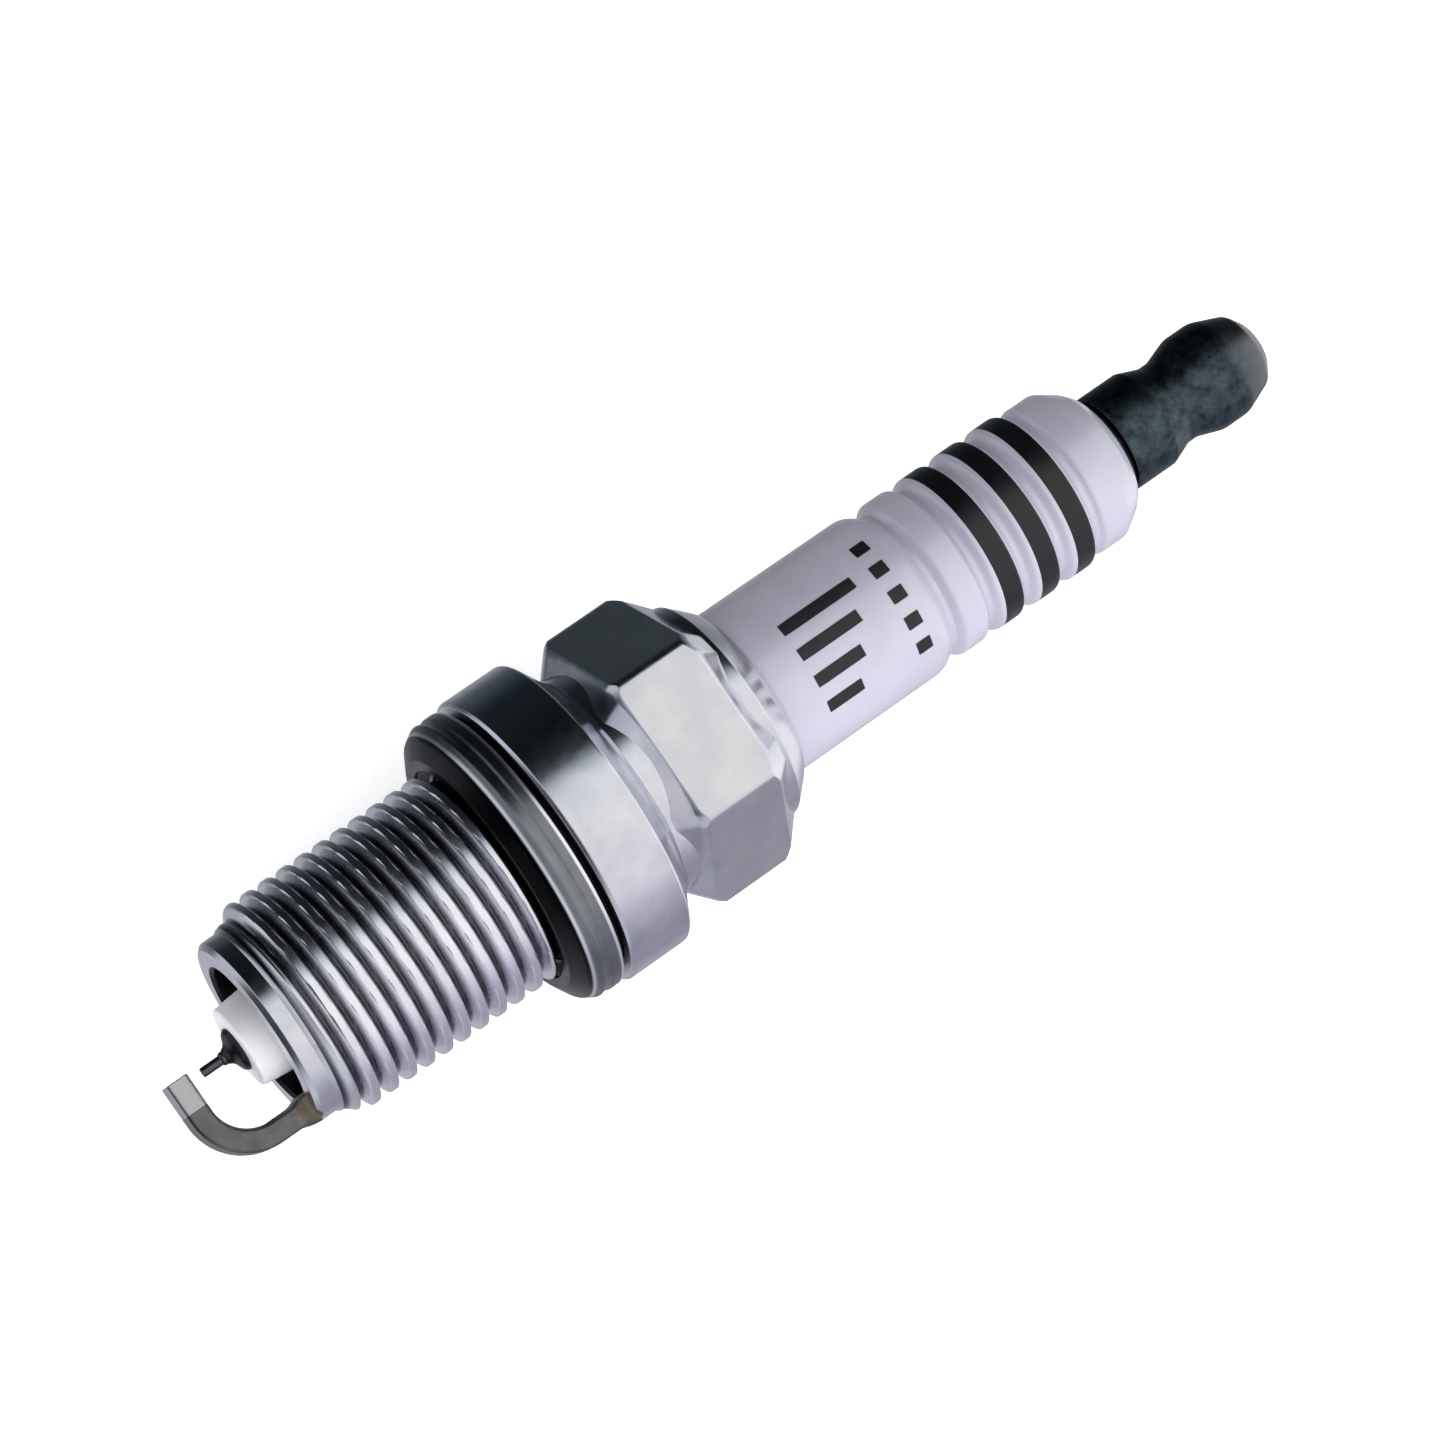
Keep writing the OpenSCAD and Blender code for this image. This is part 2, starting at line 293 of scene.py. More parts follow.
def zinc_plated_steel(name, light, dark, marks, rough, root_shade_radii=None):
    """Bright zinc plating over turned or drawn steel. It gives a cool mirror-like metal whose reflections
    are broken by fine tool marks: rings on turned faces, lines along the axis on the drawn hexagon.
    root_shade_radii gives the radii, in millimetres, between which painted shade in the thread root fades
    out."""
    material, tree, place = new_material(name)
    cloud = noise(tree, place, 2.5)
    lines = noise(tree, place, 0.16, 2.0, marks)
    stain = noise(tree, place, 0.7, 4.0)
    colour = blend_colours(tree, spread(tree, cloud, -0.3, 1.3), srgb(dark), srgb(light))
    roughness = spread(tree, stain, rough - 0.07, rough + 0.09)
    # Painted shade: the thread root below the first radius is painted dark grey, fading out by the second
    # radius.
    if root_shade_radii:
        bright = between(tree, from_axis(tree, place), root_shade_radii[0] * MM, root_shade_radii[1] * MM)
        colour = blend_colours(tree, bright, srgb("#4A4C52"), colour)
    return close_material(material, tree, (lines, 0.004), Base_Color=colour, Metallic=1.0,
                          Roughness=roughness)


# Where the gasket's colour changes along the axis, as (starts, complete, colour): painted shade on its face
# and behind its rear edge, and painted highlights on both edges
GASKET_HIGHLIGHT_EDGE = GASKET_TOP - 0.62
GASKET_PAINTED_LIGHT = [
    (1.05, 0.85, "#F6F6F8"), (0.86, 0.72, "#101214"),
    (GASKET_HIGHLIGHT_EDGE - 0.05, GASKET_HIGHLIGHT_EDGE + 0.05, "#F6F6F8"), (GASKET_HIGHLIGHT_EDGE + 0.24, GASKET_HIGHLIGHT_EDGE + 0.34, "#16181A"),
]


def rolled_gasket_steel():
    """Thin plated strip, rolled and folded. It is a little duller than the shell, with rolling lines
    round the ring. Painted shade darkens the sealing face and the band behind the rear edge, and painted
    highlights lighten both edges."""
    material, tree, place = new_material("rolled_gasket_steel")
    lines = noise(tree, place, 0.12, 2.0, (1, 0.06, 0.06))
    cloud = noise(tree, place, 1.2)
    colour = blend_colours(tree, cloud, srgb("#6E7276"), srgb("#94979C"))
    along = along_axis(tree, place)
    # Painted light: dark bands of painted shade on the face and behind the rear edge, pale bands of painted
    # highlight on both edges.
    for start, full, tint in GASKET_PAINTED_LIGHT:
        reached = between(tree, along, start * MM, full * MM)
        colour = blend_colours(tree, reached, colour, srgb(tint))
    return close_material(material, tree, (lines, 0.01), Base_Color=colour, Metallic=1.0,
                          Roughness=spread(tree, cloud, 0.22, 0.4))


def glazed_alumina():
    """White sintered alumina under a fired clear glaze. It gives a smooth porcelain gloss over a cool,
    faintly violet white, with the slight waviness of a flowed glaze and tiny specks."""
    material, tree, place = new_material("glazed_alumina")
    cloud = noise(tree, place, 3.5)
    speck = noise(tree, place, 0.22, 1.0)
    tint = blend_colours(tree, cloud, srgb("#A2A1B0"), srgb("#B4B3C1"))
    dots = add(tree, "ShaderNodeMath", {0: speck, 1: 0.74}, operation="GREATER_THAN").outputs[0]
    specks = spread(tree, dots, 0.0, 0.25)
    colour = blend_colours(tree, specks, tint, srgb("#A3A1AE"))
    wave = noise(tree, place, 1.8, 2.0)
    return close_material(material, tree, (wave, 0.012), Base_Color=colour, Roughness=0.32, IOR=1.6,
                          Coat_Weight=1.0, Coat_Roughness=0.06, Coat_IOR=1.5)


def black_glaze():
    """Band of black glaze fired on to the ribs. It is a deep gloss black whose edge follows the rib."""
    material, tree, place = new_material("black_glaze")
    cloud = noise(tree, place, 0.9)
    colour = blend_colours(tree, cloud, srgb("#050506"), srgb("#121316"))
    return close_material(material, tree, (cloud, 0.008), Base_Color=colour,
                          Roughness=spread(tree, cloud, 0.25, 0.42), IOR=1.5)


def bare_alumina():
    """Unglazed alumina of the nose. It is a matt, fine-grained white."""
    material, tree, place = new_material("bare_alumina")
    grain = noise(tree, place, 0.08, 2.0)
    cloud = noise(tree, place, 1.4)
    colour = blend_colours(tree, cloud, srgb("#D9D8DE"), srgb("#F0F0F2"))
    return close_material(material, tree, (grain, 0.006), Base_Color=colour, Roughness=0.55, IOR=1.6)


# Where a painted highlight on the nut's dome starts, and where it is strongest
DOME_HIGHLIGHT_START = NUT_TOP - 3.2
DOME_HIGHLIGHT_FULL = NUT_TOP - 0.4


def dark_terminal_nickel(name):
    """Dark nickel plate over turned steel. It gives near-black metal with blue-grey highlights and
    scuffs that the cap's spring has rubbed lighter, and a painted highlight lightens the domed end."""
    material, tree, place = new_material(name)
    rings = noise(tree, place, 0.1, 2.0, (1, 0.05, 0.05))
    scuff = noise(tree, place, 0.9, 5.0, (1, 1, 1), 0.65)
    rubbed = between(tree, scuff, 0.36, 0.68, "LINEAR")
    colour = blend_colours(tree, rubbed, srgb("#2E383D"), srgb("#56646B"))
    # Painted highlight: the domed end is lightened towards the top.
    dome_highlight = between(tree, along_axis(tree, place), DOME_HIGHLIGHT_START * MM, DOME_HIGHLIGHT_FULL * MM, "LINEAR")
    colour = blend_colours(tree, dome_highlight, colour, srgb("#747678"))
    return close_material(material, tree, (rings, 0.008), Base_Color=colour, Metallic=1.0,
                          Roughness=spread(tree, scuff, 0.24, 0.5))


def drawn_nickel_alloy(name, light, dark):
    """Drawn nickel alloy. It is a satin grey metal with drawing lines and faint oxide."""
    material, tree, place = new_material(name)
    lines = noise(tree, place, 0.07, 2.0, (0.15, 0.15, 1))
    cloud = noise(tree, place, 0.8, 4.0)
    colour = blend_colours(tree, cloud, srgb(dark), srgb(light))
    return close_material(material, tree, (lines, 0.006), Base_Color=colour, Metallic=1.0,
                          Roughness=spread(tree, cloud, 0.25, 0.45))


def welded_alloy():
    """Alloy that melted under a laser and froze. It has small ripples and a straw to blue heat tint."""
    material, tree, place = new_material("welded_alloy")
    ripple = noise(tree, place, 0.05, 2.0, (1, 0.3, 0.3))
    tint = noise(tree, place, 0.3)
    colour = blend_colours(tree, tint, srgb("#4A4E63"), srgb("#7C6F5E"))
    return close_material(material, tree, (ripple, 0.01), Base_Color=colour, Metallic=1.0, Roughness=0.35)


def marking_ink():
    """Fired black marking ink. It is a thin, slightly uneven matt black."""
    material, tree, place = new_material("marking_ink")
    cloud = noise(tree, place, 0.4, 4.0)
    colour = blend_colours(tree, cloud, srgb("#08080A"), srgb("#1C1C20"))
    return close_material(material, tree, (cloud, 0.003), Base_Color=colour, Roughness=0.5)


def inner_part(name, light, dark, size, rough, metal=0.0):
    """Finish of a part sealed inside: its own colour with a grain of the size it has."""
    material, tree, place = new_material(name)
    grain = noise(tree, place, size, 4.0)
    colour = blend_colours(tree, grain, srgb(dark), srgb(light))
    return close_material(material, tree, (grain, 0.01), Base_Color=colour, Metallic=metal, Roughness=rough)


def pale_floor():
    """Back-lit white acrylic table top. It keeps the ground white, and the shadow on it faint."""
    material, tree, place = new_material("pale_floor")
    cloud = noise(tree, place, 60)
    colour = blend_colours(tree, cloud, srgb("#F9F9FA"), srgb("#FCFCFC"))
    return close_material(material, tree, Base_Color=colour, Roughness=0.8, Emission_Color=srgb("#FFFFFF"),
                          Emission_Strength=0.65)


TURNED_ZINC = zinc_plated_steel("turned_zinc", "#EAE9EF", "#C6C9D2", (1, 0.04, 0.04), 0.19)
DRAWN_ZINC = zinc_plated_steel("drawn_zinc", "#E6E4E5", "#CFCFD4", (0.05, 1, 1), 0.24)
# The last pair of radii sets where painted shade darkens the thread root.
THREAD_ZINC = zinc_plated_steel("rolled_thread_zinc", "#FAF9FE", "#E2E3EA", (1, 0.04, 0.04), 0.24,
                                (6.16, 6.38))
# Painted shade: near-black colour for the relief groove behind the thread and the firing-end chamber, where
# shade falls.
RELIEF_PAINTED_SHADE = zinc_plated_steel("relief_painted_shade", "#2B2D31", "#17181B", (1, 0.04, 0.04), 0.4)
GASKET_STEEL = rolled_gasket_steel()
GLAZE = glazed_alumina()
BLACK_GLAZE = black_glaze()
BARE_ALUMINA = bare_alumina()
TERMINAL_NICKEL = dark_terminal_nickel("dark_terminal_nickel")
STUD_NICKEL = dark_terminal_nickel("dark_stud_nickel")
STRAP_ALLOY = drawn_nickel_alloy("drawn_strap_alloy", "#83817F", "#565556")
STRAP_WELD = drawn_nickel_alloy("heat_tinted_weld", "#827869", "#55504A")
STRAP_LIGHT_END = drawn_nickel_alloy("lighter_strap_end", "#CDCCCA", "#A8A8A8")
ELECTRODE_ALLOY = drawn_nickel_alloy("drawn_electrode_alloy", "#4D4D50", "#323236")
IRIDIUM = drawn_nickel_alloy("drawn_iridium", "#6E6E74", "#4C4C52")
WELD = welded_alloy()
INK = marking_ink()

INNER_FINISHES = {
    "seat_washer": inner_part("annealed_copper", "#C07A52", "#8E5538", 0.5, 0.35, 1.0),
    "lower_packing_ring": inner_part("drawn_iron_wire_low", "#8C8C90", "#68686C", 0.2, 0.4, 1.0),
    "upper_packing_ring": inner_part("drawn_iron_wire_high", "#8C8C90", "#68686C", 0.2, 0.4, 1.0),
    "talc_powder": inner_part("pressed_talc", "#EDEAE0", "#D8D4C6", 0.1, 0.9),
    "copper_core": inner_part("cold_forged_copper", "#C47E55", "#9A5C3C", 0.6, 0.3, 1.0),
    "lower_glass_seal": inner_part("fused_glass_low", "#2A2F33", "#15181A", 0.15, 0.3),
    "upper_glass_seal": inner_part("fused_glass_high", "#2A2F33", "#15181A", 0.15, 0.3),
    "resistor": inner_part("fired_resistor", "#1B1B1D", "#0B0B0C", 0.1, 0.7),
}


def give(piece, *materials):
    if piece.data.materials:
        piece.data.materials.clear()
    for material in materials:
        piece.data.materials.append(material)


for inner_node, inner_finish in INNER_FINISHES.items():
    give(frame["nodes"][inner_node], inner_finish)

# ---------------------------------------------------------------- the metal shell

LAND_R = 6.0
THREAD_START = SHELL_END + 1.5
THREAD_STOP = 0.15
RELIEF_R = THREAD_R - THREAD_DEPTH
FLANGE_BACK = SEAT + 4.05
GROOVE_R = 7.3
HEX_FRONT = SEAT + 7.4
HEX_BACK = HEX_FRONT + 4.45
SHOULDER_R = 7.15
CHAMBER_R = 4.4
CHAMBER_TOP = -9.0
LEDGE_R = 3.75
LEDGE_START, LEDGE_STOP, LEDGE_FOOT = -8.6, -8.1, -7.0
MID_BORE_R = 5.0
COLLAR_SEAT, COLLAR_FREE = 4.8, 6.1
TOP_BORE_R = 6.3
CRIMP_START, CRIMP_STOP = 17.0, 17.5
HEX_CONE = 1.12
BEVEL_ROWS = (-0.06, 0.06, 0.35, 0.7, 1)


def hexagon_rows(angle):
    """Outline along the hexagon at one angle: bevel, side and bevel, from the groove to the shoulder.
    A flat faces +Z. Each bevel is flat on the sides and conical at the corners."""
    sixth = FULL_TURN / 6
    off_flat = ((angle - FULL_TURN / 4 + sixth / 2) % sixth) - sixth / 2
    reach_out = 1 / math.cos(off_flat)
    side = min(HEX_HALF * reach_out, HEX_CORNER_R)

    def bevel(flat_start, meets):
        """Rows down one bevel, from the side to the round part it meets, as (distance, radius)."""
        cone_end = (HEX_CORNER_R - meets) / HEX_CONE
        end = min(cone_end, flat_start + HEX_HALF - meets / reach_out)
        rows = []
        for share in BEVEL_ROWS:
            start = min((HEX_CORNER_R - side) / HEX_CONE, flat_start)
            out = start + (end - start) * share
            cone = HEX_CORNER_R - HEX_CONE * out
            rows.append((out, min(side, cone, (HEX_HALF - out + flat_start) * reach_out)))
        return rows

    front = [(HEX_FRONT - out, radius) for out, radius in bevel(0.2, GROOVE_R)][::-1]
    return front + [(HEX_BACK + out, radius) for out, radius in bevel(0.35, SHOULDER_R)]


BELOW_THREAD = eased([
    (SHELL_END + 0.2, CHAMBER_R),
    (SHELL_END, CHAMBER_R + 0.2),
    (SHELL_END, LAND_R - 0.3, 0.08),
    (SHELL_END + 0.3, LAND_R, 0.12),
    (THREAD_START - 0.25, LAND_R),
    (THREAD_START - 0.02, RELIEF_R),
])[:-1]
FLANGE_ROWS = eased([
    (THREAD_STOP + 0.02, RELIEF_R),
    (SEAT, RELIEF_R, 0.2),
    (SEAT, FLANGE_R - 0.2, 0.15),
    (SEAT + 0.22, FLANGE_R, 0.15),
    (FLANGE_BACK, FLANGE_R, 0.3),
    (FLANGE_BACK + 1.2, GROOVE_R + 0.25, 0.25),
    (FLANGE_BACK + 1.5, GROOVE_R, 0.25),
    (HEX_FRONT - 1.6, GROOVE_R),
])
RIM_ROWS = eased([
    (RIM_END - 1.6, SHOULDER_R),
    (RIM_END - 1.42, SHOULDER_R - 0.03, 0.25),
    (RIM_END - 0.35, 6.1, 0.5),
    (RIM_END, 5.72, 0.3),
    (RIM_END, 5.52, 0.08),
    (RIM_END - 0.7, BARREL_R + 0.07),
    (CRIMP_STOP, BARREL_R + 0.02),
    (CRIMP_START, TOP_BORE_R),
    (COLLAR_FREE, TOP_BORE_R),
    (COLLAR_SEAT, MID_BORE_R),
    (LEDGE_FOOT, MID_BORE_R),
    (LEDGE_STOP, LEDGE_R),
    (LEDGE_START, LEDGE_R),
    (CHAMBER_TOP, CHAMBER_R),
], steps=8)
THREAD_ROWS = rows_between(THREAD_START, THREAD_STOP, PITCH / 20)


def shell_outline(angle):
    thread = []
    for along in THREAD_ROWS:
        thread.append((along, thread_radius(along, angle, THREAD_R, THREAD_DEPTH, PITCH,
                                            THREAD_START, THREAD_STOP, PITCH * 1.1)))
    return BELOW_THREAD + thread + FLANGE_ROWS + hexagon_rows(angle) + RIM_ROWS


def shell_finish(along, radius):
    """The hexagon's sides are drawn stock, the thread is rolled, the relief and the chamber take a
    near-black material as painted shade, and everything else is turned."""
    if HEX_FRONT < along < HEX_BACK and radius > HEX_HALF - 0.01:
        return 1
    # Painted shade: the relief groove and the firing-end chamber take the near-black material.
    if THREAD_STOP < along < SEAT and RELIEF_R - 0.05 < radius < RELIEF_R + 0.6:
        return 3
    if radius < CHAMBER_R + 0.15:
        return 3
    return 2 if THREAD_START - 0.1 < along < THREAD_STOP and radius > 6 else 0


shell = turned("shell_body", shell_outline, "plug", columns=240, finish_at=shell_finish,
               replaces=("metal_shell",), slot="plated_steel")
give(shell, TURNED_ZINC, DRAWN_ZINC, THREAD_ZINC, RELIEF_PAINTED_SHADE)

# ---------------------------------------------------------------- the gasket

GASKET_BORE = 6.4
GASKET_LIP = 7.05
GASKET_OUTLINE = eased([
    (GASKET_FACE, GASKET_LIP, 0.1),
    (GASKET_FACE, GASKET_R - 1.5, 0.3),
    (GASKET_FACE + 0.62, GASKET_R - 0.45, 0.6),
    (GASKET_FACE + 1.35, GASKET_R, 0.3),
    (GASKET_FACE + 1.6, GASKET_R - 0.1, 0.2),
    (GASKET_TOP - 1.3, GASKET_R - 0.1, 0.2),
    (GASKET_TOP - 1.1, GASKET_R, 0.15),
    (GASKET_TOP - 0.38, GASKET_R, 0.2),
    (GASKET_TOP - 0.34, GASKET_R - 0.6, 0.1),
    (GASKET_TOP, GASKET_R - 0.7, 0.05),
    (GASKET_TOP, GASKET_BORE, 0.1),
    (GASKET_TOP - 1.0, GASKET_BORE),
    (GASKET_TOP - 1.0, GASKET_BORE + 1.6),
    (GASKET_TOP - 1.2, GASKET_BORE + 1.6),
    (GASKET_TOP - 1.2, GASKET_BORE),
    (GASKET_FACE + 0.9, GASKET_BORE, 0.1),
    (GASKET_FACE + 0.25, GASKET_LIP),
], steps=5)

gasket = turned("folded_gasket", lambda angle: GASKET_OUTLINE, "loose_gasket", columns=160,
                replaces=("gasket",), slot="gasket_steel")
give(gasket, GASKET_STEEL)

# ---------------------------------------------------------------- the insulator

RIB_R = 5.24
RIB_GROOVE_R = 4.7
RIB_PITCH = 2.68
FIRST_RIB = INSULATOR_TOP - 13.3
PLAIN_RIBS = 1
BANDED_RIBS = 3
BAND_HALF = 0.68
BAND_SHIFT = 0.12
NOSE_BORE = 1.3
NOSE_R = 2.52
CORE_R = 1.9
CORE_STEP = -2.2
MIDDLE_R = 4.9
COLLAR_R = 6.2
COLLAR_START, COLLAR_STOP = 6.5, 13.2
HIDDEN_R = BARREL_R - 0.2
HEAD_R = RIB_R - 0.2


def rib_corners(middle):
    """Corners of one rib and the groove after it."""
    return [
        (middle - 0.8, RIB_R, 0.42),
        (middle - 0.3, RIB_R),
        (middle + 0.3, RIB_R),
        (middle + 0.8, RIB_R, 0.42),
        (middle + 1.16, RIB_GROOVE_R, 0.3),
        (middle + RIB_PITCH - 1.16, RIB_GROOVE_R, 0.3),
    ]


rib_run = []
for rib_number in range(PLAIN_RIBS + BANDED_RIBS):
    rib_run += rib_corners(FIRST_RIB + rib_number * RIB_PITCH)
HEAD_START = FIRST_RIB + (PLAIN_RIBS + BANDED_RIBS) * RIB_PITCH - 0.9
INSULATOR_OUTLINE = eased([
    (NOSE_END, NOSE_BORE),
    (NOSE_END, NOSE_R, 0.22),
    (NOSE_END + 0.9, NOSE_R + 0.1, 0.4),
    (-9.0, 3.3),
    (-7.8, 3.7),
    (-6.7, MIDDLE_R),
    (COLLAR_START - 1.3, MIDDLE_R),
    (COLLAR_START, COLLAR_R),
    (COLLAR_STOP, COLLAR_R),
    (COLLAR_STOP + 0.5, HIDDEN_R),
    (RIM_END - 0.6, HIDDEN_R),
    (RIM_END - 0.3, BARREL_R),
    (FIRST_RIB - 2.45, BARREL_R - 0.02, 1.6),
    (FIRST_RIB - 1.5, RIB_GROOVE_R + 0.05, 0.6),
    (FIRST_RIB - 1.16, RIB_GROOVE_R, 0.1),
    *rib_run,
    (HEAD_START, HEAD_R, 0.35),
    (INSULATOR_TOP - 1.75, HEAD_R, 0.6),
    (INSULATOR_TOP - 0.5, 4.25, 0.5),
    (INSULATOR_TOP, 3.75, 0.3),
    (INSULATOR_TOP, CORE_R),
    (CORE_STEP, CORE_R),
    (CORE_STEP, NOSE_BORE),
], steps=6)


def insulator_finish(along, radius):
    """Glaze above the shell, black glaze on three ribs and bare alumina below."""
    if along < RIM_END - 1.2 or radius < 3:
        return 2
    for number in range(PLAIN_RIBS, PLAIN_RIBS + BANDED_RIBS):
        if abs(along - (FIRST_RIB + number * RIB_PITCH + BAND_SHIFT)) < BAND_HALF:
            return 1
    return 0


insulator = turned("ceramic_insulator", lambda angle: INSULATOR_OUTLINE, "plug", columns=160,
                   finish_at=insulator_finish, replaces=("insulator",), slot="glazed_alumina")
give(insulator, GLAZE, BLACK_GLAZE, BARE_ALUMINA)

# ---------------------------------------------------------------- marks fired on the insulator


def ink_patch(bm, start, length, middle, width):
    """Thin patch of ink that follows the barrel, with its corners eased. Angles are in degrees."""
    depth = 0.012
    corner = 0.16
    steps_along = 6
    steps_round = 8
    grid = []
    for i in range(steps_along + 1):
        t = i / steps_along
        pull = corner * (1 - math.sqrt(max(0, 1 - (2 * t - 1) ** 8)))
        row = []
        for j in range(steps_round + 1):
            side = (j / steps_round - 0.5) * (width - 2 * pull)
            angle = math.radians(middle + side)
            radius = BARREL_R + depth
            spot = (start + length * t, radius * math.cos(angle), radius * math.sin(angle))
            row.append(bm.verts.new(spot))
        grid.append(row)
    faces = []
    for i in range(steps_along):
        for j in range(steps_round):
            faces.append(bm.faces.new((grid[i][j], grid[i][j + 1], grid[i + 1][j + 1], grid[i + 1][j])))
    sunk = bmesh.ops.extrude_face_region(bm, geom=faces)["geom"]
    for vert in [v for v in sunk if isinstance(v, bmesh.types.BMVert)]:
        scale = (BARREL_R - depth) / (BARREL_R + depth)
        vert.co.y *= scale
        vert.co.z *= scale


MARK_START = RIM_END + 2.6
MARK_ANGLE = 92
MARK_STEP = 19
BAR_LENGTH = 5.2
BAR_SHORTENING = 0.9
DASH_SHIFT = 6.4
marks = bmesh.new()
for bar in range(4):
    ink_patch(marks, MARK_START, BAR_LENGTH - BAR_SHORTENING * bar, MARK_ANGLE - 22 + MARK_STEP * bar, 8.5)
for dash in range(5):
    ink_patch(marks, MARK_START + DASH_SHIFT, 1.0, MARK_ANGLE - 38 + MARK_STEP * dash, 9)
ink_marks = finish_mesh("ink_marks", marks, "plug")
give(ink_marks, INK)

# ---------------------------------------------------------------- electrodes

SHANK_R = 1.3
ELECTRODE_OUTLINE = eased([
    (WELD_END, 0.0),
    (WELD_END, 0.4),
    (WELD_END + 0.35, 0.62, 0.5),
    (NOSE_END - 0.35, 1.2, 0.3),
    (NOSE_END - 0.08, SHANK_R + 0.1, 0.08),
    (NOSE_END, SHANK_R),
    (CORE_STEP, SHANK_R),
    (CORE_STEP, CORE_R),
    (ELECTRODE_TOP, CORE_R),
    (ELECTRODE_TOP, 0.0),
], steps=6)
centre_electrode = turned("centre_electrode_body", lambda angle: ELECTRODE_OUTLINE, "plug", columns=64,
                          replaces=("centre_electrode",), slot="nickel_alloy")
give(centre_electrode, ELECTRODE_ALLOY)

TIP_OUTLINE = eased([
    (WIRE_END, 0.0),
    (WIRE_END, WIRE_R, 0.05),
    (WIRE_START, WIRE_R),
    (WIRE_START, 0.0),
], steps=4)
tip = turned("fine_wire_tip", lambda angle: TIP_OUTLINE, "plug", columns=48,
             replaces=("iridium_tip",), slot="iridium")
give(tip, IRIDIUM)

WELD_OUTLINE = eased([
    (WELD_START - 0.03, WIRE_R * 0.9),
    (WELD_START, WIRE_R + 0.02, 0.03),
    (WELD_START + 0.12, WIRE_R + 0.12, 0.08),
    (WELD_END + 0.02, WIRE_R + 0.12, 0.06),
    (WELD_END + 0.02, WIRE_R * 0.9),
], steps=4)
weld = turned("tip_weld_bead", lambda angle: WELD_OUTLINE, "plug", columns=48,
              replaces=("tip_weld",), slot="weld_alloy")
give(weld, WELD)

# The strap: a flat bar with eased edges, swept along its leg, bend and arm
SPARK_GAP = 0.85
STRAP_T = WIRE_END - SPARK_GAP - STRAP_OUTER
STRAP_BEND = 3.7 - STRAP_T / 2
STRAP_EDGE = 0.28
WELD_TINT = 0.85
LIGHT_END_LENGTH = 2.1
TIP_EASE = 0.06
TIP_ROUND = 0.05


def strap_section(half_thick, half_wide, edge):
    """Ring of the strap's section: across its thickness and along its width."""
    ring = []
    for centre_a, centre_b, start in (
        (half_thick - edge, half_wide - edge, 0), (-half_thick + edge, half_wide - edge, 90),
        (-half_thick + edge, -half_wide + edge, 180), (half_thick - edge, -half_wide + edge, 270),
    ):
        for point in arc((centre_a, centre_b), edge, start, start + 90, 5):
            ring.append(point)
    return ring


def strap_path():
    """Places along the strap's middle, each with the outward direction and the swell of the weld."""
    leg_y = STRAP_LEG_Y + STRAP_T / 2
    arm_x = STRAP_OUTER + STRAP_T / 2
    bend = Vector((arm_x + STRAP_BEND, leg_y + STRAP_BEND))
    path = []
    for t in rows_between(0, 1, 0.0625):
        along = SHELL_END + 0.12 + (bend.x - SHELL_END - 0.12) * t
        swell = 0.26 * (1 - smooth_step(SHELL_END - along, -0.1, 1.0))
        path.append((Vector((along, leg_y)), Vector((0, -1)), swell))
    for step in range(1, 17):
        a = math.radians(270 - 90 * step / 16)
        out = Vector((math.cos(a), math.sin(a)))
        path.append((bend + out * STRAP_BEND, out, 0))
    for t in rows_between(0, 1, 0.2)[1:]:
        path.append((Vector((arm_x, bend.y + (STRAP_TIP_Y - bend.y) * t)), Vector((-1, 0)), 0))
    return path


def strap_rings(bm):
    """Section after section along the strap, with its cut end slightly eased."""
    rings = []
    for middle, out, swell in strap_path():
        ring = []
        for across, wide in strap_section(STRAP_T / 2 + swell, STRAP_HALF_WIDTH + swell, STRAP_EDGE):
            spot = middle + out * across
            ring.append(bm.verts.new((spot.x, spot.y, wide)))
        rings.append(ring)
    tip_middle = Vector((STRAP_OUTER + STRAP_T / 2, STRAP_TIP_Y, 0))
    eased_ring = []
    for vert in rings[-1]:
        toward = (tip_middle - vert.co) * TIP_EASE
        eased_ring.append(bm.verts.new(vert.co + toward + Vector((0, TIP_ROUND, 0))))
    return rings + [eased_ring]


def strap_finish(middle):
    """Heat-tinted by the weld at its root, lighter over the last stretch to its free end and plain drawn
    alloy between.
    """
    if middle.x > SHELL_END - WELD_TINT:
        return 1
    # The last stretch of the arm to its free end takes a much lighter alloy colour.
    return 2 if middle.y > STRAP_TIP_Y - LIGHT_END_LENGTH else 0


strap_mesh = bmesh.new()
sections = strap_rings(strap_mesh)
for here, there in zip(sections, sections[1:]):
    for i in range(len(here)):
        on = (i + 1) % len(here)
        side = strap_mesh.faces.new((here[i], here[on], there[on], there[i]))
        side.material_index = strap_finish(side.calc_center_median())
strap_mesh.faces.new(sections[0])
strap_mesh.faces.new(sections[-1])
strap = finish_mesh("ground_strap", strap_mesh, "plug", replaces=("ground_electrode",), slot="nickel_alloy")
give(strap, STRAP_ALLOY, STRAP_WELD, STRAP_LIGHT_END)

# ---------------------------------------------------------------- terminal stud and nut

